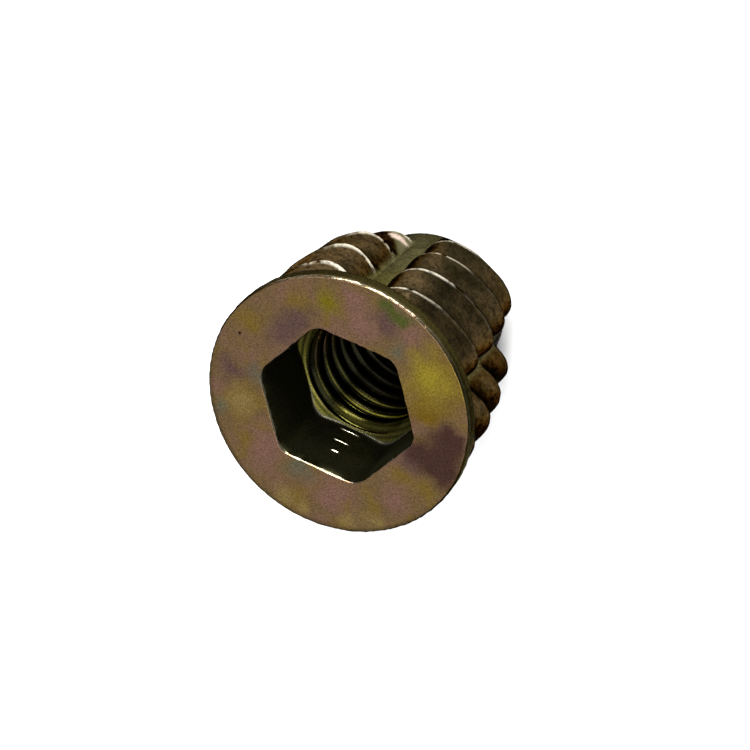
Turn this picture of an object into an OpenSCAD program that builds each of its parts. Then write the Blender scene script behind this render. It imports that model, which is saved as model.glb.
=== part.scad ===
// Flanged insert nut with a hexagon drive socket.
// The part stands on its rear end. The flange is at the top, with the socket opening upwards.
// Depths are measured down from the flange's face.

/* [Flange] */
// Diameter of the flange
flange_d = 15.4; // [15:0.1:18]
// Thickness of the flange
flange_t = 1.1; // [0.8:0.1:1.5]
// Rounding of the flange's two outer edges
flange_round = 0.25; // [0.1:0.05:0.35]

/* [Drive socket] */
// Width of the hexagon socket across its flats
hex_af = 8.2; // [7.4:0.1:8.4]
// Rounding of the socket's six corners
hex_corner_r = 1.1; // [0.3:0.1:1.4]
// Depth of the socket's floor at the middle of its flats
hex_depth = 5.05; // [4.5:0.05:6]
// Included angle of the conical floor of the socket
floor_angle = 130; // [90:5:150]

/* [Bore] */
// Radius of the bore over the crests of its internal thread
bore_r = 3.4; // [3:0.05:3.5]
// Width of the chamfer at the bore's rear mouth
bore_chamfer = 0.4; // [0.1:0.1:0.6]

/* [Barrel] */
// Overall length with the flange
length = 14.6; // [13:0.2:20]
// Radius of the groove floors at the flange
core_front_r = 5.1; // [4.9:0.05:5.2]
// Radius of the groove floors at the rear end
core_rear_r = 4.6; // [4.4:0.05:4.9]
// Width of the chamfer round the rear end
rear_chamfer = 0.25; // [0.1:0.05:0.3]

/* [Outer thread] */
// Number of lobes that the axial grooves leave
lobes = 4; // [3:1:5]
// Angle of the first lobe's centre, with a corner of the hexagon at 0
first_lobe = 59; // [0:1:90]
// Share of the lobe spacing that a lobe takes at its foot
foot_share = 0.83; // [0.75:0.01:0.9]
// Exponent of a lobe's rounding from its middle to its foot, higher for a squarer lobe
lobe_power = 5.5; // [2:0.5:8]
// Number of flights down each lobe
flights = 4; // [3:1:5]
// Number of starts of the interrupted thread
starts = 4; // [2:1:5]
// Depth of the first crest at the middle of a lobe
first_crest = 3.1; // [2.9:0.05:3.6]
// Distance of the last crest from the rear end at the middle of a lobe
last_crest_gap = 3.1; // [3:0.05:3.6]
// Radius of the first crest
crest_front_r = 7.35; // [6.8:0.05:7.4]
// Radius of the last crest
crest_rear_r = 6.45; // [6.2:0.05:6.8]
// Exponent of the crests' taper, higher for a barrel that narrows only near its end
crest_taper = 2.4; // [1:0.1:3]
// Share of the spacing by which the first half of the lobes carries its flights further down
stagger = 0.6; // [0:0.05:0.7]
// Height of a flight over the root
flight_h = 1.2; // [0.8:0.05:1.3]
// Width of the flat crest
crest_land = 0.18; // [0.1:0.02:0.3]
// Run of the steep flank behind each crest
rear_run = 0.5; // [0.3:0.05:0.7]
// Share of its height that the last flight keeps on the last lobe, where it runs out
last_share = 0.6; // [0:0.1:1]

/* [Hidden] */
$fn = 96;
body_color = "darkkhaki";
past = 0.5; // how far a cutter runs past the face that it opens
arc_steps = 6;
lobe_pitch = 360 / lobes;
foot_half = foot_share * lobe_pitch / 2;
last_crest = length - last_crest_gap;
spacing = (last_crest - first_crest) / (flights - 1);
lead = starts * spacing;
barrel_top = flange_t / 2; // the barrel starts inside the flange
barrel_foot = length - rear_chamfer;
min_gap = 0.04; // least distance between two rows of the barrel's surface
floor_depth = hex_depth + (hex_af / 2 - bore_r) / tan(floor_angle / 2); // depth of the floor at the bore
flank_rows = 3; // rows between the foot and the crest of a long flank
column_shares = [0.25, 0.5, 0.72, 0.87, 0.96, 1]; // columns across half a lobe, closer towards its foot

// Quarter turn of radius r about c, from angle a0 on
function arc(c, r, a0) =
    [for (i = [0:arc_steps]) c + r * [cos(a0 + 90 * i / arc_steps), sin(a0 + 90 * i / arc_steps)]];

// Radius of the groove floor at depth d
function core_r(d) = core_front_r + (core_rear_r - core_front_r) * (d - flange_t) / (length - flange_t);

// Radius of the line that joins the crests at depth d
function crest_r(d) =
    let (share = max(0, (d - first_crest) / (last_crest - first_crest)))
    crest_front_r + (crest_rear_r - crest_front_r) * pow(share, crest_taper);

// How much deeper the flights lie on this lobe than on the last one
function set_back(lobe) = lobe < floor(lobes / 2) ? stagger * spacing : 0;

// 1 in the middle of a lobe, rounding off to 0 at its two feet
function lobe_mask(phi) = 1 - pow(min(1, abs(phi) / foot_half), lobe_power);

// Height of flight k on a lobe, as a share of the full height
function flight_share(k, lobe) =
    k < 0 || k >= flights ? 0 : k == flights - 1 && lobe == lobes - 1 ? last_share : 1;

// Sawtooth at x flights past the first crest: flat crest, steep rear flank, long front flank
function tooth(x, lobe) =
    let (k = floor(x), run = (x - k) * spacing, foot = crest_land + rear_run)
    run < crest_land ? flight_share(k, lobe)
    : run < foot ? flight_share(k, lobe) * (foot - run) / rear_run
    : flight_share(k + 1, lobe) * pow((run - foot) / (spacing - foot), 1.25);

// Radius of the barrel at depth d and angle phi from the middle of a lobe
function barrel_r(d, phi, lobe) =
    let (x = (d - set_back(lobe) + lead * phi / 360 - first_crest) / spacing,
         root = crest_r(d) - flight_h - core_r(d),
         chamfer = max(0, d - barrel_foot))
    core_r(d) + lobe_mask(phi) * (max(0, root) + flight_h * tooth(x, lobe)) - chamfer;

// Depths of the rows of the surface at angle phi: they follow the flights across a lobe
function row_depths(phi, lobe) =
    let (skew = abs(phi) <= foot_half ? lead * phi / 360 : 0,
         first = first_crest + set_back(lobe) - skew,
         foot = crest_land + rear_run,
         lead_foot = max(barrel_top + min_gap, first - spacing + foot),
         rear = [0, crest_land, foot],
         flank = [for (i = [1:flank_rows]) foot + (spacing - foot) * i / (flank_rows + 1)])
    concat(
        [barrel_top],
        [for (i = [0:flank_rows]) lead_foot + (first - lead_foot) * i / (flank_rows + 1)],
        [for (k = [0:flights - 1])
            for (step = k < flights - 1 ? concat(rear, flank) : rear)
                first + k * spacing + step],
        [barrel_foot, length]);

// Rows that would pass the rear end are held just short of it, in order
function held(depths) =
    let (n = len(depths))
    [for (i = [0:n - 1]) i >= n - 2 ? depths[i] : min(depths[i], barrel_foot - (n - 2 - i) * min_gap)];

// Angles of the columns across one lobe, from the middle of the groove before it
lobe_columns = concat(
    [-lobe_pitch / 2],
    [for (i = [len(column_shares) - 1:-1:0]) -column_shares[i] * foot_half],
    [0],
    [for (share = column_shares) share * foot_half]);

module flange() {
    r = flange_d / 2;
    translate([0, 0, length - flange_t])
        rotate_extrude()
            polygon(concat([[0, 0]],
                           arc([r - flange_round, flange_round], flange_round, -90),
                           arc([r - flange_round, flange_t - flange_round], flange_round, 0),
                           [[0, flange_t]]));
}

// Solid barrel with its rows of interrupted flights, one row on each lobe
module barrel() {
    columns = [for (lobe = [0:lobes - 1]) for (phi = lobe_columns) [lobe, phi]];
    rings = [for (c = columns)
        let (angle = first_lobe + c[0] * lobe_pitch + c[1])
        [for (d = held(row_depths(c[1], c[0])))
            let (r = barrel_r(d, c[1], c[0]))
            [r * cos(angle), r * sin(angle), length - d]]];
    n = len(columns);
    m = len(rings[0]);
    points = concat([for (ring = rings) each ring], [[0, 0, length - barrel_top], [0, 0, 0]]);
    faces = concat(
        [for (i = [0:n - 1]) for (j = [0:m - 2])
            let (a = i * m + j, b = (i + 1) % n * m + j)
            each [[a, b, b + 1], [a, b + 1, a + 1]]],
        [for (i = [0:n - 1]) [n * m, (i + 1) % n * m, i * m]],
        [for (i = [0:n - 1]) [n * m + 1, i * m + m - 1, (i + 1) % n * m + m - 1]]);
    polyhedron(points, faces, convexity = 8);
}

// Hexagon with round corners, one of them on the X axis
module hexagon(height) {
    reach = (hex_af / 2 - hex_corner_r) / cos(30);
    linear_extrude(height)
        polygon([for (corner = [0:5]) for (i = [0:arc_steps])
            let (a = 60 * corner - 30 + 60 * i / arc_steps)
            reach * [cos(60 * corner), sin(60 * corner)] + hex_corner_r * [cos(a), sin(a)]]);
}

// The socket: a hexagon with round corners down to a conical floor
module socket() {
    floor_z = length - floor_depth;
    reach = hex_af / 2 / cos(30) + past;
    intersection() {
        translate([0, 0, floor_z])
            hexagon(floor_depth + past);
        rotate_extrude()
            polygon([[0, floor_z],
                     [bore_r, floor_z],
                     [reach, floor_z + (reach - bore_r) / tan(floor_angle / 2)],
                     [reach, length + past],
                     [0, length + past]]);
    }
}

module bore() {
    translate([0, 0, -past])
        cylinder(r = bore_r, h = length + past - floor_depth + min_gap);
    translate([0, 0, -past])
        cylinder(r1 = bore_r + bore_chamfer + past, r2 = bore_r, h = bore_chamfer + past);
}

module insert_nut() {
    color(body_color)
        difference() {
            union() {
                flange();
                barrel();
            }
            socket();
            bore();
        }
}

insert_nut();
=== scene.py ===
import math
import bpy
import numpy as np
from mathutils import Matrix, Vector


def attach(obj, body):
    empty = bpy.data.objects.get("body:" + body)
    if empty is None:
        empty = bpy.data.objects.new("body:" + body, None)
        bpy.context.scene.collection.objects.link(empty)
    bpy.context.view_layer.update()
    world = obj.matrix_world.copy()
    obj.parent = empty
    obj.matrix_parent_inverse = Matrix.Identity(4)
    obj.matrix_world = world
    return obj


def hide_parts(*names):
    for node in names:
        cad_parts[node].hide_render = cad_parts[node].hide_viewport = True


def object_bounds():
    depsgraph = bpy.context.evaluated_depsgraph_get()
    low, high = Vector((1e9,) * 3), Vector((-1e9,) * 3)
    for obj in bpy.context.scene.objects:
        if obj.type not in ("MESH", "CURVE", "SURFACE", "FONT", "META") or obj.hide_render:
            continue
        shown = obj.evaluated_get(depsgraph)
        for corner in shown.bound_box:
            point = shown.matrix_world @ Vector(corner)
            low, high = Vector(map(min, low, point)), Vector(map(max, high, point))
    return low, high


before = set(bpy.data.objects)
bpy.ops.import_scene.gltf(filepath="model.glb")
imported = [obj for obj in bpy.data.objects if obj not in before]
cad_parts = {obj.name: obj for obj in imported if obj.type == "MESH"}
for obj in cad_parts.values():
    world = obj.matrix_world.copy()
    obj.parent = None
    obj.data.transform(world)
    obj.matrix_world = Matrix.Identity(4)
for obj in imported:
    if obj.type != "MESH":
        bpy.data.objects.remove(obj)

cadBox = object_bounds()
mm = 0.001
print("frame loaded")

# lengths in mm, angles in degrees round the axis from a corner of the hexagon, depths from the face down
insert = {
    "columns": 380,  # grid lines round the axis
    "flangeThickness": 1.1,
    "flangeRound": 0.25,
    "rimBevel": 0.1,
    "bevelSlope": 1.25,  # height of the worn bevels at the rim and the mouth over their width
    "flangeFillet": 0.25,
    "hexFlats": 8.2,
    "hexCorner": 1.1,
    "hexDepth": 5.05,
    "floorAngle": 130.0,
    "mouthBevel": 0.075,
    "boreRadius": 3.4,
    "boreChamfer": 0.4,
    "threadRadius": 4.0,
    "threadPitch": 1.25,
    "threadRows": 12,  # grid rows to a turn of the thread
    "threadPhase": 0.18,
    "coreFront": 5.1,
    "coreRear": 4.6,
    "rearRound": 0.25,
    "firstLobe": 59.0,
    "footShare": 0.83,
    "lobePower": 5.5,
    "flights": 4,
    "firstCrest": 3.1,
    "lastCrestGap": 3.1,
    "crestFront": 7.35,
    "crestRear": 6.45,
    "crestTaper": 2.4,
    "stagger": 0.6,
    "flightHeight": 1.2,
    "flankBend": 1.25,  # over 1 makes the long flanks hollow
    "crestLand": 0.18,
    "rearRun": 0.5,
    "lastShare": 0.6,
    "edgeRound": 0.07,  # how far the casting's edges are rounded
    "lump": 0.03,  # unevenness of the cast faces
    "wave": 0.07,  # how far the flights wander along the axis
    "rough": 0.05,  # how far the edges of the rim and the mouth wander
    # ridges that the hexagon's punch left across the wall at 90 degrees: depth, middle, half length
    "ridges": [(2.2, -0.08, 0.3), (3.32, 0.0, 0.54), (4.58, -0.02, 0.66)],
    "ridgeHeight": 0.1,
    "ridgeWidth": 0.042,  # half of it, up the wall
    "ridgeFade": 0.12,  # length over which its ends run out
}

length = (cadBox[1].z - cadBox[0].z) / mm
flangeRadius = (cadBox[1].x - cadBox[0].x) / 2 / mm
lobes = 4
lobePitch = 360 / lobes
footHalf = insert["footShare"] * lobePitch / 2
lastCrest = length - insert["lastCrestGap"]
spacing = (lastCrest - insert["firstCrest"]) / (insert["flights"] - 1)
lead = lobes * spacing  # as many starts as lobes
floorSlope = 1 / math.tan(math.radians(insert["floorAngle"] / 2))  # rise of the socket's floor per mm
faceRows = 13  # grid rows across the flange's face
backRows = 5  # grid rows back in under the flange

# the angle of each grid column, the lobe that it crosses, and its angle from the middle of that lobe
turn = 360 * np.arange(insert["columns"])[None, :] / insert["columns"]
lobe = np.floor((turn - insert["firstLobe"] + lobePitch / 2) / lobePitch) % lobes
phi = (turn - insert["firstLobe"] + lobePitch / 2) % lobePitch - lobePitch / 2
setBack = np.where(lobe < lobes / 2, insert["stagger"] * spacing, 0)  # of the flights, in mm of depth


def latticeNoise(x, y, z, cell, seed):
    # random values at the corners of cubic cells, blended by a smooth step inside each cell
    cells = 48
    corner = np.random.default_rng(seed).uniform(-1, 1, (cells, cells, cells))
    whole = [np.floor(axis / cell).astype(int) for axis in (x, y, z)]
    part = [axis / cell - base for axis, base in zip((x, y, z), whole)]
    part = [t * t * (3 - 2 * t) for t in part]
    total = 0
    for dx in (0, 1):
        for dy in (0, 1):
            for dz in (0, 1):
                share = 1
                for t, step in zip(part, (dx, dy, dz)):
                    share = share * (t if step else 1 - t)
                total = total + share * corner[
                    (whole[0] + dx) % cells, (whole[1] + dy) % cells, (whole[2] + dz) % cells]
    return total


def hexRadius(angle):
    # distance from the axis to a hexagon with round corners, one of them at angle 0
    half = insert["hexFlats"] / 2
    corner = insert["hexCorner"]
    centre = (half - corner) / math.cos(math.radians(30))
    off = np.radians((angle + 30) % 60 - 30)
    tangent = math.atan2(corner * 0.5, centre + corner * math.cos(math.radians(30)))
    flat = half / np.cos(math.radians(30) - np.abs(off))
    inside = np.maximum(corner ** 2 - (centre * np.sin(off)) ** 2, 0)
    return np.where(np.abs(off) < tangent, centre * np.cos(off) + np.sqrt(inside), flat)


def lobeMask(angle):
    # 1 in the middle of a lobe, rounding off to 0 at its two feet
    return 1 - np.minimum(np.abs(angle) / footHalf, 1) ** insert["lobePower"]


def coreRadius(depth):
    # the groove floors narrow evenly from the flange to the rear end
    front = insert["flangeThickness"]
    share = (depth - front) / (length - front)
    return insert["coreFront"] + (insert["coreRear"] - insert["coreFront"]) * share


def flightShare(k):
    # 1 for a whole flight; the last one runs out on the last lobe
    last = insert["flights"] - 1
    whole = (k >= 0) & (k <= last)
    return np.where((k == last) & (lobe == lobes - 1), insert["lastShare"], np.where(whole, 1.0, 0.0))


def sharpBarrel(depth, angle):
    # core radius, plus the root and the sawtooth flights where the lobe's mask lets them stand
    along = (depth - setBack + lead * angle / 360 - insert["firstCrest"]) / spacing
    k = np.floor(along)
    run = (along - k) * spacing
    foot = insert["crestLand"] + insert["rearRun"]
    rear = flightShare(k) * np.clip((foot - run) / insert["rearRun"], 0, 1)
    front = flightShare(k + 1) * np.clip((run - foot) / (spacing - foot), 0, 1) ** insert["flankBend"]
    share = np.maximum((depth - insert["firstCrest"]) / (lastCrest - insert["firstCrest"]), 0)
    taper = (insert["crestRear"] - insert["crestFront"]) * share ** insert["crestTaper"]
    crest = insert["crestFront"] + taper
    root = crest - insert["flightHeight"] - coreRadius(depth)
    height = np.maximum(root, 0) + insert["flightHeight"] * np.maximum(rear, front)
    return coreRadius(depth) + lobeMask(angle) * height


def barrelRadius(depth):
    # mean of the sharp form over a small window, which rounds its edges and fills its corners
    wavy = insert["wave"] * latticeNoise(turn * 0.1, depth, depth * 0, 1.1, 5)
    degreesPerMm = 9  # round the middle of the flanks
    total = 0
    for a, share in ((-1, 1), (-0.5, 2), (0, 2), (0.5, 2), (1, 1)):
        for b in (-1, 0, 1):
            total = total + share * sharpBarrel(
                depth + wavy + a * insert["edgeRound"], phi + b * insert["edgeRound"] * degreesPerMm)
    return total / 24  # the sum of all the shares


def floorHeight(radius):
    # the socket's end is a shallow cone, at its named depth in the middle of the flats
    return length - insert["hexDepth"] + floorSlope * (radius - insert["hexFlats"] / 2)


def boreRows():
    # a thread groove with sloping flanks that climbs one pitch a turn, opened by the floor's cone at its
    # upper end and by the chamfer at its lower end; the rows climb with it for most of a turn, then slip
    # back down over the rest
    foot = floorHeight(insert["boreRadius"])
    top = floorHeight(insert["threadRadius"])
    pitch = insert["threadPitch"]
    rows = np.linspace(0, foot, int(foot / pitch * insert["threadRows"]))
    rows = np.concatenate([rows, np.linspace(foot, top, 9)[1:]])[:, None]
    slipAt = 330
    climb = np.where(turn < slipAt, turn / 360, slipAt / 360 * (360 - turn) / (360 - slipAt))
    window = np.clip(rows / pitch, 0, 1) * np.clip((top - rows) / pitch, 0, 1)
    height = rows + pitch * (climb - slipAt / 720) * window
    phase = (height / pitch - turn / 360 + insert["threadPhase"]) % 1
    off = np.abs(phase - 0.5) * pitch
    # from the middle of the groove outwards: its flat bottom, the flank and the crest, with eased corners
    flank = (insert["threadRadius"] - insert["boreRadius"]) / math.sqrt(3)  # 60 degrees between two flanks
    groove = pitch / 16  # half the flat bottom
    radius = np.interp(off, [groove * 0.4, groove * 1.2, groove + flank - 0.03, groove + flank + 0.05],
                       [insert["threadRadius"], insert["threadRadius"] - 0.02,
                        insert["boreRadius"] + 0.03, insert["boreRadius"]])
    cone = insert["boreRadius"] + (height - foot) / floorSlope
    chamfer = insert["boreRadius"] + insert["boreChamfer"] - height
    return np.maximum(np.maximum(radius, cone), chamfer), height


# rows across a worn bevel whose two corners are cut: shares of its width and height, from either side
cut = 0.12  # how far a cut corner reaches along the bevel and past it
past = np.array([cut, 0.5, 1 - cut, 1 + cut])[:, None]
within = np.array([cut, 0.5, 1 - cut, 1.0])[:, None]
bevelRows = len(past)


def socketRows():
    # out over the floor, up the walls, and out over the worn mouth
    wall = hexRadius(turn)
    t = np.linspace(0, 1, 7)[1:, None]
    floorR = insert["threadRadius"] + (wall - insert["threadRadius"]) * t
    floorZ = floorHeight(floorR)
    width = insert["mouthBevel"]
    fall = width * insert["bevelSlope"]
    foot = floorHeight(wall)
    top = length - (1 + cut) * fall
    # wall rows in shares of the wall's height, closer round each ridge
    rowGap = 0.045
    tall = top - floorHeight(insert["hexFlats"] / 2)
    share = [(i + 1) / 8 for i in range(8)]
    for depth, middle, half in insert["ridges"]:
        share += [1 - (depth - (1 + cut) * fall + rowGap * step) / tall for step in range(-2, 3)]
    wallZ = foot + (top - foot) * np.array(sorted(share))[:, None]
    wallR = wall + 0 * wallZ
    mouthR = wall + width * past
    mouthZ = length - fall * (1 - within) + 0 * wall
    radius = np.vstack([floorR, wallR, mouthR])
    height = np.vstack([floorZ, wallZ, mouthZ])
    across = radius * np.cos(np.radians(turn))
    onWall = np.abs(turn - 90) < 28
    for depth, middle, half in insert["ridges"]:
        share = np.exp(-((length - height - depth) / insert["ridgeWidth"]) ** 2) * onWall
        share = share * np.clip((half - np.abs(across - middle)) / insert["ridgeFade"], 0, 1)
        radius = radius - insert["ridgeHeight"] * share
    return radius, height


def flangeRows(innerR, outerR):
    # across the face, round the rim and back in under the flange to the barrel's fillet
    edge = insert["flangeRound"]
    under = length - insert["flangeThickness"]
    width = insert["rimBevel"]
    fall = width * insert["bevelSlope"]
    # the face's first and last rows lie close to its edges, so that these stay crisp
    t = np.concatenate([[0.015], np.linspace(0, 1, faceRows - 1)[1:-1], [0.985, 1]])[:, None]
    faceR = innerR + (flangeRadius - (1 + cut) * width - innerR) * t
    faceZ = length + 0 * faceR
    upperR = flangeRadius - width * (1 - within) + 0 * turn
    upperZ = length - fall * past + 0 * turn
    t = np.linspace(0, 1, 4)[1:, None]
    sideR = flangeRadius + 0 * t + 0 * turn
    sideZ = upperZ[-1:] + (under + edge - upperZ[-1:]) * t
    a = np.linspace(0, math.pi / 2, 6)[1:, None]
    lowerR = flangeRadius - edge * (1 - np.cos(a)) + 0 * turn
    lowerZ = under + edge * (1 - np.sin(a)) + 0 * turn
    t = np.linspace(0, 1, backRows + 1)[1:, None]
    backR = flangeRadius - edge + (outerR + insert["flangeFillet"] - flangeRadius + edge) * t
    backZ = under + 0 * backR
    radius = np.vstack([faceR, upperR, sideR, lowerR, backR])
    height = np.vstack([faceZ, upperZ, sideZ, lowerZ, backZ])
    return radius, height


def barrelDepths():
    # depths below the face: the rows follow the flights across each lobe
    skew = np.where(np.abs(phi) <= footHalf, phi,
                    np.sign(phi) * footHalf * (lobePitch / 2 - np.abs(phi)) / (lobePitch / 2 - footHalf))
    first = insert["firstCrest"] + setBack - lead * skew / 360
    top = insert["flangeThickness"] + insert["flangeFillet"]
    foot = insert["crestLand"] + insert["rearRun"]
    land = insert["crestLand"]
    edge = insert["edgeRound"]
    # rows of one flight: over its crest, down the steep flank behind it and up the next long one
    crestSteps = np.array([0, 0.5 * land, land, land + edge])
    rearSteps = land + insert["rearRun"] * np.array([0.4, 0.6, 0.85, 1.0]) + [0, 0, 0, edge * 0.5]
    flankSteps = foot + (spacing - foot) * np.array([0.09, 0.2, 0.33, 0.46, 0.59, 0.71, 0.82, 0.91, 0.965])
    steps = np.concatenate([crestSteps, rearSteps, flankSteps])
    count = insert["flights"]
    along = np.concatenate([k * spacing + steps for k in range(count)])
    plainEnd = 0.9  # how far rows go on past the last flight
    along = along[along < (count - 1) * spacing + foot + plainEnd]
    leadIn = np.linspace(0, 1, 14)[:-1, None]
    depth = np.vstack([top + (first - top) * leadIn, first + along[:, None]])
    # rows that would pass the rear edge are held just short of it, in order
    leastGap = 0.012
    end = length - insert["rearRound"]
    left = np.arange(len(depth))[::-1, None]
    depth = np.minimum(depth, end - leastGap * (left + 1))
    return np.vstack([depth, end + 0 * turn])


def filletRows(barrelR):
    # a quarter circle from the flange's underside down to the barrel
    size = insert["flangeFillet"]
    a = np.linspace(0, math.pi / 2, 5)[1:-1, None]
    radius = barrelR + size * (1 - np.sin(a))
    height = length - insert["flangeThickness"] - size * (1 - np.cos(a)) + 0 * turn
    return radius, height


def rearRows(barrelR, boreR):
    # round the rear edge and in across the flat rear end
    edge = insert["rearRound"]
    a = np.linspace(0, math.pi / 2, 5)[1:, None]
    edgeR = barrelR - edge * (1 - np.cos(a))
    edgeZ = edge * (1 - np.sin(a)) + 0 * turn
    t = np.linspace(0, 1, 6)[1:-1, None]
    flatR = edgeR[-1:] + (boreR - edgeR[-1:]) * t
    return np.vstack([edgeR, flatR]), np.vstack([edgeZ, 0 * flatR])


def buildInsert():
    # one closed grid in x = r cos(turn), y = r sin(turn), z: up the bore and socket, over the flange,
    # down the barrel and in across the rear end
    bore = boreRows()
    socket = socketRows()
    depth = barrelDepths()
    barrelR = barrelRadius(depth)
    flange = flangeRows(socket[0][-1:], barrelR[:1])
    fillet = filletRows(barrelR[:1])
    barrel = (barrelR, length - depth)
    rear = rearRows(barrelR[-1:], bore[0][:1])
    blocks = {"bore": bore, "socket": socket, "flange": flange, "fillet": fillet,
              "barrel": barrel, "rear": rear}
    zones = {}
    start = 0
    for name, (radius, height) in blocks.items():
        zones[name] = slice(start, start + len(radius))
        start += len(radius)
    radius = np.vstack([block[0] for block in blocks.values()])
    height = np.vstack([block[1] for block in blocks.values()])
    angle = np.radians(turn)
    x = radius * np.cos(angle)
    y = radius * np.sin(angle)
    # broad and fine lumps on the barrel, and ragged edges on the rim and, less so, the mouth
    lump = latticeNoise(x, y, height, 0.9, 1) + 0.5 * latticeNoise(x, y, height, 0.35, 2)
    radius[zones["barrel"]] += insert["lump"] * lump[zones["barrel"]]
    wander = insert["rough"] * latticeNoise(x, y, 0 * x, 0.3, 3)
    mouth = slice(zones["socket"].stop - bevelRows, zones["socket"].stop)
    radius[mouth] += 0.6 * wander[mouth]
    rim = slice(zones["flange"].start + faceRows, zones["flange"].stop - backRows)
    radius[rim] -= np.abs(wander[rim])
    radius = np.minimum(radius, flangeRadius)
    x = radius * np.cos(angle)
    y = radius * np.sin(angle)
    rows, columns = radius.shape
    index = np.arange(rows * columns).reshape(rows, columns)
    above = np.roll(index, -1, axis=0)
    quads = np.stack([index, above, np.roll(above, -1, axis=1), np.roll(index, -1, axis=1)], axis=-1)
    points = np.stack([x, y, height], axis=-1).reshape(-1, 3) * mm
    mesh = bpy.data.meshes.new("insert_casting")
    mesh.from_pydata(points.tolist(), [], quads.reshape(-1, 4).tolist())
    mesh.validate()
    mesh.polygons.foreach_set("use_smooth", np.ones(len(mesh.polygons), bool))
    piece = bpy.data.objects.new("insert_casting", mesh)
    bpy.context.scene.collection.objects.link(piece)
    print("insert surface:", rows, "rows,", 2 * len(mesh.polygons), "triangles")
    return piece, zones, x, y, height


casting, zones, gridX, gridY, gridZ = buildInsert()
distance = np.hypot(gridX, gridY)
bore, socket, flange, barrel = (zones[name] for name in ("bore", "socket", "flange", "barrel"))
mouthStart = socket.stop - bevelRows  # first rows of the two worn bevels, and of the flange's underside
rimStart = flange.start + faceRows
backStart = flange.stop - backRows

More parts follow.
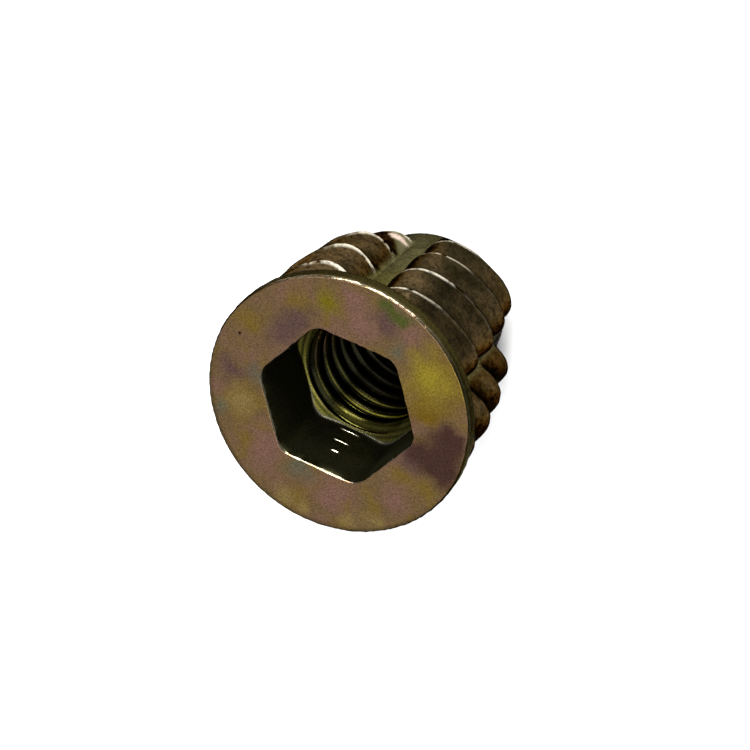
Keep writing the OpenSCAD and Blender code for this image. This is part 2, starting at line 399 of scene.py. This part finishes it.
finish = {
    "tan": "#6b563b",
    "rose": "#77594c",
    "mauve": "#5c4640",
    "plum": "#46302a",
    "gold": "#705b2b",
    "sand": "#7f6b40",
    "olive": "#8c7c29",
    "moss": "#6f6410",
    "amber": "#6a5216",
    "green": "#4a5025",
    "grey": "#5f5a48",
    # pale tint of a painted highlight on one flank
    "flankHighlight": "#d4beb0",
    "side": "#3d3823",
    # painted shade on the rim's bevel and on the face beside it, and painted shadow below the rim
    "rim": "#2a281a",
    "barrelBrown": "#4b3c27",
    "barrelDark": "#1d1a0d",
    # dark tint: painted shade on the barrel, and the colour of the face's pit and of the barrel's smears and
    # specks
    "root": "#14110a",
    "groove": "#5f5b3e",
    "grooveRear": "#625f49",
    # pale tint of the worn crests with painted highlight on them, and painted highlight along the socket's
    # ridges
    "crest": "#d8d0bc",
    # pale tint of the worn mouth bevel, and painted highlight on one side of the rim's bevel
    "edge": "#6a6556",
    "wall": "#55543a",
    "floor": "#5a5624",
    "floorDark": "#28270f",
    "corner": "#4c4b40",
    "bore": "#1c1a0d",
    # painted shade in the bore
    "boreShadeTint": "#0d0d07",
    # colours of the bore's painted highlight lines: bright higher up, dim deep down
    "threadHigh": "#aaa340",
    "threadDeep": "#37332b",
    # warm painted reflection in the bore's thread lines
    "threadReflection": "#66503f",
    "glance": "#5a5340",  # tint of the film seen at a flat angle
    "roughness": (0.42, 0.16),  # of the satin parts and of the smooth ones
    "dent": (0.25, 0.06),  # strength of the fine bumps, on the same two
    "dentDepth": 0.03,
    "shade": (0.62, 1.36),  # how far the grain darkens and lightens the film
    "toolMarks": 0.3,  # distance in mm between the rings that a tool left on the socket's floor
    # mottling of the film: size in mm, detail, and the noise levels at which it is none and full
    "mottle": {
        "rose": (2.2, 3, 0.48, 0.78),
        "gold": (1.0, 2, 0.5, 0.8),
        "brown": (1.6, 3, 0.38, 0.62),
        "smears": (0.5, 3, 0.45, 0.8),
        "specks": (0.2, 2, 0.5, 0.8),
        # crestBreakup breaks up the pale crests: wear with painted highlight
        "crestBreakup": (0.5, 2, 0.35, 0.5),
        # edgeBreakup breaks up the pale bevels: wear at the mouth, painted highlight at the rim
        "edgeBreakup": (0.25, 2, 0.3, 0.55),
        "grain": (0.09, 3, 0.3, 0.7),  # finer in truth, and drawn as coarse as it needs to show
    },
    # where each of these lies round the part, and how far it spreads, in degrees
    "places": {
        # rimShadow places the painted shadow below the rim
        "rimShadow": (217, 22),
        "paleSide": (168, 14),
        # shadedBore places the painted shade in the bore
        "shadedBore": (44, 14),
        # reflectingThread places the painted reflection in the bore's thread lines
        "reflectingThread": (5, 15),
        # litCrests places the painted highlight on the crests
        "litCrests": (284, 42),
        "blackLobe": (242, 28),
        "brownLobe": (205, 13),
    },
    # angles that each of these faces; the rim's bevel has painted highlight round litRim, and the face has a
    # painted shade line round shadedFaceLine
    "sides": {"litRim": 272, "shadedFaceLine": 75, "dimFloor": 108, "paleCorners": 100},
    "crestShadeFrom": 315,  # angle past which the last lobe's crests lose their painted highlight and take painted shade
    "entryHeight": 9.1,  # above this the bore has the floor's colour
    "runOutDepth": 10.5,  # below this the last lobe's foot has the groove's colour
    "pit": (6.4, -1.8),  # place of a dark pit in the face
    # painted highlight on one of the barrel's flanks: angle, height, and size round and along the barrel
    "flankHighlightSpot": (298, 2.65, 0.6, 0.3),
    # painted highlight lines along the bore's thread: place in shares of the pitch up from the crest, and
    # strength
    "threadHighlights": [(0.0, 0.0), (0.09, 0.0), (0.11, 0.4), (0.13, 0.0), (0.17, 0.0), (0.19, 0.5),
                    (0.21, 0.0), (0.25, 0.0), (0.275, 1.0), (0.3, 0.0), (0.35, 0.0), (0.36, 0.2),
                    (0.37, 0.0)],
    # patches of the film on the flange's face: place across and along the face in mm, and size in mm
    "patches": {
        "gold": [(-5.6, -3.3, 1.6), (-4.6, -3.4, 1.4), (-5.2, -5.0, 1.1), (6.0, -2.7, 0.9), (1.0, -6.2, 0.7),
                 (3.9, -5.1, 0.8), (4.4, 4.4, 0.8), (0.7, 6.6, 0.9), (5.2, 2.0, 1.2),
                 (-6.4, 2.8, 0.8), (-4.7, 2.5, 0.7)],
        "rose": [(-5.0, 3.9, 0.9), (-1.2, 5.3, 1.2), (0.0, -5.4, 1.1), (-2.8, -5.7, 0.8), (0.7, -6.8, 0.6),
                 (3.0, 4.8, 1.0)],
        "mauve": [(4.2, -2.9, 0.9), (3.4, -4.0, 0.9), (-1.5, -5.7, 0.6), (-1.1, -6.3, 0.5), (6.1, 0.6, 1.0),
                  (-5.0, 1.3, 0.9)],
        "plum": [(-6.3, -0.2, 1.3), (-6.9, -1.3, 0.7), (-5.1, 0.8, 0.8), (-6.7, 1.1, 0.9)],
        "grey": [(0.9, 4.7, 0.8), (-2.3, -4.7, 0.6), (6.2, 3.0, 0.5), (4.9, 0.3, 0.5)],
        "sand": [(5.2, 2.2, 0.9), (1.8, 6.7, 0.7), (0.3, 7.0, 0.5), (-2.6, 6.4, 0.6), (-4.0, 6.0, 0.6)],
        "olive": [(-4.5, -4.0, 1.45)],
        "amber": [(-5.1, -1.9, 0.9)],
        "moss": [(2.1, -5.6, 0.85)],
        "green": [(-0.9, -7.0, 0.4), (-1.5, -6.8, 0.5), (-2.2, -6.5, 0.5)],
    },
}


def linear(code):
    # sRGB hex to linear colour
    value = np.array([int(code[i:i + 2], 16) for i in (1, 3, 5)]) / 255
    value = np.where(value <= 0.04045, value / 12.92, ((value + 0.055) / 1.055) ** 2.4)
    return (*value.tolist(), 1.0)


def addNode(tree, kind, settings, links):
    # a key that names no property is an input socket, by its name or number
    node = tree.nodes.new(kind)
    for key, value in settings.items():
        if isinstance(key, str) and hasattr(node, key):
            setattr(node, key, value)
        else:
            node.inputs[key].default_value = value
    for key, source in links.items():
        tree.links.new(source, node.inputs[key])
    return node


def storeMask(piece, name, values):
    layer = piece.data.attributes.new(name, "FLOAT", "POINT")
    values = np.broadcast_to(np.clip(values, 0, 1), gridX.shape)
    layer.data.foreach_set("value", values.astype(np.float32).ravel())


def rowMask(piece, name, rows, share=1.0):
    mask = np.zeros(gridX.shape)
    mask[rows] = share
    storeMask(piece, name, mask)


def away(name):
    # distance round the part from a named place, in shares of that place's spread
    angle, spread = finish["places"][name]
    return np.abs((turn - angle + 180) % 360 - 180) / spread


def facing(name):
    # 1 at the angle of a named side, 0 a quarter turn from it
    return np.cos(np.radians(turn - finish["sides"][name]))


def paintFlange(piece):
    # the two worn bevels: the mouth's is pale all round from wear, the rim's is pale on one side only as a
    # painted highlight, and dark on the others as painted shade
    row = np.arange(len(gridX))[:, None] + 0 * gridX
    rim = np.clip(2 - np.abs(row - rimStart - 1), 0, 1)
    edge = np.maximum(rim, np.clip(2 - np.abs(row - mouthStart - 1), 0, 1))
    rimLit = np.clip(3 * facing("litRim") - 2, 0, 1)
    storeMask(piece, "edgeWearAndHighlightMask", edge * np.where(rim > 0, rimLit, 1))
    # painted shade: a faint dark line on the face beside the rim, and a painted shadow in a band below it on
    # another side
    line = 0.65 * np.clip(1.5 * facing("shadedFaceLine"), 0, 1)
    line = line * ((row >= rimStart - 2) & (row < rimStart))
    underShadow = np.exp(-away("rimShadow") ** 2)
    underShadow = underShadow * np.clip((gridZ - length + 0.5) / 0.1, 0, 1) * ((row > rimStart) & (row < flange.stop))
    storeMask(piece, "rimShadeMask", np.maximum(np.maximum(rim * (1 - rimLit), line), underShadow))
    rowMask(piece, "sideMask", slice(rimStart + bevelRows - 1, backStart))
    storeMask(piece, "paleMask", 0.8 * np.clip(2 - away("paleSide"), 0, 1))
    return edge


def paintSocket(piece):
    wall = hexRadius(turn)
    rowMask(piece, "socketMask", slice(socket.start, mouthStart + 1))
    ridge = np.clip(2 * (wall - distance) / insert["ridgeHeight"], 0, 1) * (gridZ > floorHeight(wall) + 0.1)
    # the ridges are tinted pale: painted highlight along them
    rowMask(piece, "ridgeHighlightMask", socket, ridge[socket])
    # the floor, and the pale line where it meets the walls, which is strongest in the corners
    low = (gridZ[socket] < floorHeight(wall) + 0.03) * 1.0
    rowMask(piece, "floorMask", socket, low)
    storeMask(piece, "dimMask", np.clip(2 * facing("dimFloor") - 1, 0, 0.55))
    pale = np.clip(2 * facing("paleCorners") - 0.5, 0, 1)
    nearWall = np.clip((distance[socket] - wall + 0.13) / 0.08, 0, 1)
    inCorner = 0.3 + 0.7 * np.clip((wall - insert["hexFlats"] / 2 - 0.02) / 0.15, 0, 1)
    rowMask(piece, "cornerMask", socket, low * pale * inCorner * nearWall)
    return ridge


def paintBore(piece):
    # painted shade on one side, and next to that its highlight lines are browner with painted reflection
    rowMask(piece, "boreMask", bore)
    rowMask(piece, "entryMask", bore, (gridZ[bore] - finish["entryHeight"]) / 0.1)
    rowMask(piece, "boreShadeMask", bore, 0.93 * np.clip(2.4 - away("shadedBore"), 0, 1))
    rowMask(piece, "threadReflectionMask", bore, np.clip(2 - away("reflectingThread"), 0, 1))
    # on the way up the bore's painted highlight lines brighten, and the grooves change colour
    storeMask(piece, "heightMask", (gridZ - 5.5) / 2.5)


def paintBarrel(piece):
    rowMask(piece, "barrelMask", slice(backStart, len(gridX)))
    lastLobe = lobe == lobes - 1
    runOut = 9 * lastLobe * np.clip((length - gridZ - finish["runOutDepth"]) / 1.5, 0, 1)
    groove = np.clip((np.abs(phi) - footHalf + 2 + runOut) / 3, 0, 1)
    rows = slice(zones["fillet"].start, barrel.stop)
    rowMask(piece, "grooveMask", rows, groove[rows])
    # run is the way down from the crest above, and near the same from the nearest crest, up or down
    along = (length - gridZ - setBack + lead * phi / 360 - insert["firstCrest"]) / spacing
    run = (along - np.floor(along)) * spacing
    near = np.where(run > spacing / 2, run - spacing, run)
    onFlights = along > -0.1
    # wear with painted highlight: the crests are pale round one groove, and more broadly on the last lobe
    bright = np.clip(1.5 - 1.5 * away("litCrests") ** 2, 0.05, 1)
    ending = np.clip((finish["crestShadeFrom"] - turn) / 8, 0.05, 1)
    bright = np.minimum(bright, np.where(lastLobe, ending, 1))
    reach = 0.13 + 0.03 * lastLobe
    crest = np.clip(1.1 - np.abs(near - 0.2 + reach) / reach, 0, 1) * np.clip(4 * lobeMask(phi), 0, 1)
    crest = crest * bright
    rowMask(piece, "crestWearAndHighlightMask", barrel, (crest * onFlights)[barrel])
    # painted shade from behind each crest to the next long flank, and on the crests away from the painted
    # highlight
    root = np.clip((run - 0.25) / 0.2, 0, 1) * np.clip((1.9 - run) / 0.6, 0, 1)
    shadedCrest = np.clip(1 - np.abs(run - 0.1) / 0.16, 0, 1) * (bright < 0.3) * onFlights
    rowMask(piece, "rootShadeMask", barrel, (np.maximum(root, shadedCrest) * lobeMask(phi))[barrel])
    warm = 0.55 - 0.55 * np.exp(-away("blackLobe") ** 2)
    warm = warm + 0.45 * np.exp(-away("brownLobe") ** 2)
    storeMask(piece, "warmMask", warm)
    # painted highlight: a pale spot on one flank
    angle, z, wide, tall = finish["flankHighlightSpot"]
    off = np.hypot(np.radians(turn - angle) * distance / wide, (gridZ - z) / tall)
    rowMask(piece, "flankHighlightMask", barrel, (3 * (1 - off))[barrel])
    return groove, crest


def paintGloss(piece, edge, ridge, groove, crest):
    # the face, the socket and the grooves are satin, the rest is smoother
    gloss = edge.copy()
    gloss[bore] = 1
    gloss[socket.start:mouthStart + 1] = 0.2
    gloss = np.maximum(gloss, edge)
    gloss[socket] = np.maximum(gloss, ridge)[socket]
    gloss[barrel] = (0.55 - 0.35 * groove + 0.45 * np.clip(2 * crest, 0, 1))[barrel]
    storeMask(piece, "glossMask", gloss)


def paintPatches(piece):
    # round spots that fade from their middles, warped so that they get ragged borders
    warped = []
    for axis, seed in ((gridX, 21), (gridY, 22)):
        broad = 0.5 * latticeNoise(gridX, gridY, gridZ, 1.0, seed)
        fine = 0.2 * latticeNoise(gridX, gridY, gridZ, 0.4, seed + 3)
        warped.append(axis + broad + fine)
    ragged = 0.15 * latticeNoise(gridX, gridY, gridZ, 0.5, 23)
    for tint, patches in finish["patches"].items():
        total = 0
        for x, y, size in patches:
            total = total + np.exp(-((warped[0] - x) ** 2 + (warped[1] - y) ** 2) / size ** 2)
        storeMask(piece, tint + "Patch", 1.2 * total - 0.18 + ragged)


def coatOver(tree, under, coats):
    # lays each coat over what is under it, by its share; a coat is a named colour or another node's output
    for share, coat in coats:
        settings, links = {}, {"Fac": share}
        for key, value in (("Color1", under), ("Color2", coat)):
            if isinstance(value, str):
                settings[key] = linear(finish[value])
            else:
                links[key] = value
        under = addNode(tree, "ShaderNodeMixRGB", settings, links).outputs["Color"]
    return under


def threadHighlights(tree, place):
    # painted highlight lines that follow the thread: height over the pitch less the turns round the axis,
    # without whole turns
    part = addNode(tree, "ShaderNodeSeparateXYZ", {}, {"Vector": place}).outputs
    angle = addNode(tree, "ShaderNodeMath", {"operation": "ARCTAN2"}, {0: part["Y"], 1: part["X"]})
    start = insert["threadPhase"] + 8  # whole turns more, so that it is never below 0
    back = addNode(tree, "ShaderNodeMath", {"operation": "MULTIPLY_ADD", 1: -0.5 / math.pi, 2: start},
                   {0: angle.outputs[0]})
    climb = addNode(tree, "ShaderNodeMath",
                    {"operation": "MULTIPLY_ADD", 1: 1 / (insert["threadPitch"] * mm)},
                    {0: part["Z"], 2: back.outputs[0]})
    phase = addNode(tree, "ShaderNodeMath", {"operation": "FRACT"}, {0: climb.outputs[0]})
    ramp = addNode(tree, "ShaderNodeValToRGB", {}, {"Fac": phase.outputs[0]})
    stops = ramp.color_ramp.elements
    while len(stops) < len(finish["threadHighlights"]):
        stops.new(1.0)
    for stop, (at, level) in zip(stops, finish["threadHighlights"]):
        stop.position = at
        stop.color = (level, level, level, 1)
    return ramp.outputs["Color"]


def passivatedZinc(piece):
    # die-cast zinc with a yellow chromate film: satin metal, tan with rose and olive bloom, with painted
    # highlight, shade, shadow and reflection laid into its colour in places
    material = bpy.data.materials.new("yellow_passivated_zinc")
    material.use_nodes = True
    tree = material.node_tree
    tree.nodes.clear()
    place = addNode(tree, "ShaderNodeTexCoord", {}, {}).outputs["Object"]
    flat = addNode(tree, "ShaderNodeMapping", {"Scale": (1, 1, 2.5)}, {"Vector": place}).outputs[0]
    mask = {}
    for layer in piece.data.attributes:
        if layer.name.endswith(("Mask", "Patch")):
            node = addNode(tree, "ShaderNodeAttribute", {"attribute_name": layer.name}, {})
            mask[layer.name] = node.outputs["Fac"]
    mottle = {}
    for name, (size, detail, low, high) in finish["mottle"].items():
        noise = addNode(tree, "ShaderNodeTexNoise", {"Scale": 1 / (size * mm), "Detail": detail},
                        {"Vector": flat if name == "smears" else place})
        level = addNode(tree, "ShaderNodeMapRange", {"From Min": low, "From Max": high},
                        {"Value": noise.outputs["Fac"]})
        mottle[name] = level.outputs[0]

    x, y = finish["pit"]
    off = addNode(tree, "ShaderNodeVectorMath",
                  {"operation": "DISTANCE", 1: (x * mm, y * mm, length * mm)}, {0: place})
    pit = addNode(tree, "ShaderNodeMapRange", {"From Min": 0.12 * mm, "From Max": 0.05 * mm},
                  {"Value": off.outputs["Value"]}).outputs[0]
    patches = [(mask[name + "Patch"], name) for name in finish["patches"]]
    face = coatOver(tree, "tan", [
        (mottle["rose"], "rose"), (mottle["gold"], "gold"), *patches, (pit, "root")])

    brown = addNode(tree, "ShaderNodeMath", {"operation": "MULTIPLY_ADD", 1: 0.4},
                    {0: mottle["brown"], 2: mask["warmMask"]}).outputs[0]
    groove = coatOver(tree, "grooveRear", [(mask["heightMask"], "groove")])
    # the crests: wear with painted highlight
    crest = addNode(tree, "ShaderNodeMath", {"operation": "MULTIPLY"},
                    {0: mask["crestWearAndHighlightMask"], 1: mottle["crestBreakup"]}).outputs[0]
    # the barrel: painted shade behind the crests, pale crests with wear and painted highlight, and a painted
    # highlight on one flank
    barrel = coatOver(tree, "barrelDark", [
        (brown, "barrelBrown"), (mottle["smears"], "root"), (mottle["specks"], "root"),
        (mask["rootShadeMask"], "root"), (mask["grooveMask"], groove), (crest, "crest"),
        (mask["flankHighlightMask"], "flankHighlight")])

    rings = addNode(tree, "ShaderNodeTexWave",
                    {"wave_type": "RINGS", "rings_direction": "Z",
                     "Scale": 0.1 * math.pi / (finish["toolMarks"] * mm)},
                    {"Vector": place}).outputs["Fac"]
    floor = coatOver(tree, "floorDark", [(rings, "floor"), (mask["dimMask"], "floorDark")])
    # the bore's painted highlight lines
    thread = coatOver(tree, "threadDeep", [
        (mask["heightMask"], "threadHigh"), (mask["threadReflectionMask"], "threadReflection")])
    # the bore: painted highlight lines along the thread, with painted reflection in them on one side and
    # painted shade on another
    bore = coatOver(tree, "bore", [
        (threadHighlights(tree, place), thread), (mask["entryMask"], floor), (mask["boreShadeMask"], "boreShadeTint")])

    side = coatOver(tree, "side", [(mask["paleMask"], "groove")])
    # pale bevels: wear at the mouth, painted highlight on the rim
    edge = addNode(tree, "ShaderNodeMath", {"operation": "MULTIPLY"},
                   {0: mask["edgeWearAndHighlightMask"], 1: mottle["edgeBreakup"]}).outputs[0]
    # painted shade along the rim, pale bevels with wear and painted highlight, and painted highlight on the
    # ridges
    color = coatOver(tree, face, [
        (mask["barrelMask"], barrel), (mask["sideMask"], side), (mask["rimShadeMask"], "rim"),
        (mask["socketMask"], "wall"), (mask["floorMask"], floor), (mask["cornerMask"], "corner"),
        (mask["boreMask"], bore), (edge, "edge"), (mask["ridgeHighlightMask"], "crest")])

    ranges = {}
    for name, source in (("shade", mottle["grain"]), ("roughness", mask["glossMask"]),
                         ("dent", mask["glossMask"])):
        low, high = finish[name]
        ranges[name] = addNode(tree, "ShaderNodeMapRange", {"To Min": low, "To Max": high},
                               {"Value": source}).outputs[0]
    color = addNode(tree, "ShaderNodeVectorMath", {"operation": "SCALE"},
                    {0: color, "Scale": ranges["shade"]}).outputs[0]
    bump = addNode(tree, "ShaderNodeBump", {"Distance": finish["dentDepth"] * mm},
                   {"Height": mottle["grain"], "Strength": ranges["dent"]})
    shader = addNode(tree, "ShaderNodeBsdfPrincipled",
                     {"Metallic": 1.0, "Specular Tint": linear(finish["glance"])},
                     {"Base Color": color, "Roughness": ranges["roughness"],
                      "Normal": bump.outputs["Normal"]})
    addNode(tree, "ShaderNodeOutputMaterial", {}, {"Surface": shader.outputs["BSDF"]})
    return material


edge = paintFlange(casting)
ridge = paintSocket(casting)
paintBore(casting)
groove, crest = paintBarrel(casting)
paintGloss(casting, edge, ridge, groove, crest)
paintPatches(casting)
casting.data.materials.append(passivatedZinc(casting))
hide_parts("insert_nut")
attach(casting, "root")
print("finish made")

stage = {
    "floorSize": 3.0,  # in metres, as the lamps' sizes and distances are
    "floorColor": "#fafafa",
    "worldLevel": 0.6,
    # name: azimuth, elevation, distance, width, height, power
    "lamps": {
        "overhead": (200, 75, 0.45, 0.30, 0.30, 1.2),
        "strip": (-80, 20, 0.35, 0.34, 0.035, 1.2),
        "key": (-77, 41, 0.35, 0.15, 0.12, 1.5),
        "fill": (60, 30, 0.5, 0.30, 0.30, 0.3),
    },
}


def lookFrom(azimuth, elevation, roll=0.0):
    # the direction from the target back to the viewer, and a rotation whose Z points along it
    a, e, r = math.radians(azimuth), math.radians(elevation), math.radians(roll)
    back = np.array([math.cos(a) * math.cos(e), math.sin(a) * math.cos(e), math.sin(e)])
    level = np.cross([0, 0, 1.0], back)
    level /= np.linalg.norm(level)
    up = math.cos(r) * np.cross(back, level) + math.sin(r) * level
    return back, Matrix(np.stack([np.cross(up, back), up, back], axis=1).tolist()).to_4x4()


def makeStage():
    mesh = bpy.data.meshes.new("floor")
    half = stage["floorSize"] / 2
    corners = [(-half, -half, 0), (half, -half, 0), (half, half, 0), (-half, half, 0)]
    mesh.from_pydata(corners, [], [(0, 1, 2, 3)])
    floor = bpy.data.objects.new("floor", mesh)
    bpy.context.scene.collection.objects.link(floor)
    material = bpy.data.materials.new("matt_white_paper")
    material.use_nodes = True
    shader = material.node_tree.nodes["Principled BSDF"]
    shader.inputs["Base Color"].default_value = linear(stage["floorColor"])
    shader.inputs["Roughness"].default_value = 0.9
    shader.inputs["Specular IOR Level"].default_value = 0.2
    mesh.materials.append(material)
    world = bpy.data.worlds.new("soft_studio")
    bpy.context.scene.world = world
    world.use_nodes = True
    world.node_tree.nodes["Background"].inputs["Strength"].default_value = stage["worldLevel"]
    world.node_tree.nodes["Background"].inputs["Color"].default_value = (1, 1, 1, 1)
    for name, (azimuth, elevation, distance, width, height, power) in stage["lamps"].items():
        light = bpy.data.lights.new(name, "AREA")
        light.shape = "RECTANGLE"
        light.size = width
        light.size_y = height
        light.energy = power
        lamp = bpy.data.objects.new(name, light)
        back, lamp.matrix_world = lookFrom(azimuth, elevation)
        lamp.location = (back * distance).tolist()
        bpy.context.scene.collection.objects.link(lamp)


# angles in degrees, distance and target in mm
camera = {
    "azimuth": -111.9,
    "elevation": 56.46,
    "roll": 137.3,  # the part lies across the view, its rear end towards the upper right
    "distance": 135.8,
    "target": (-0.05, 0.86, 8.51),
    "lens": 115.2,
}


def makeCamera():
    data = bpy.data.cameras.new("camera")
    data.lens = camera["lens"]
    data.sensor_width = 36
    data.clip_start = 0.001
    view = bpy.data.objects.new("camera", data)
    back, view.matrix_world = lookFrom(camera["azimuth"], camera["elevation"], camera["roll"])
    view.location = ((np.array(camera["target"]) + back * camera["distance"]) * mm).tolist()
    bpy.context.scene.collection.objects.link(view)
    bpy.context.scene.camera = view


makeStage()
makeCamera()
bpy.context.scene.view_settings.view_transform = "Standard"
print("stage made")
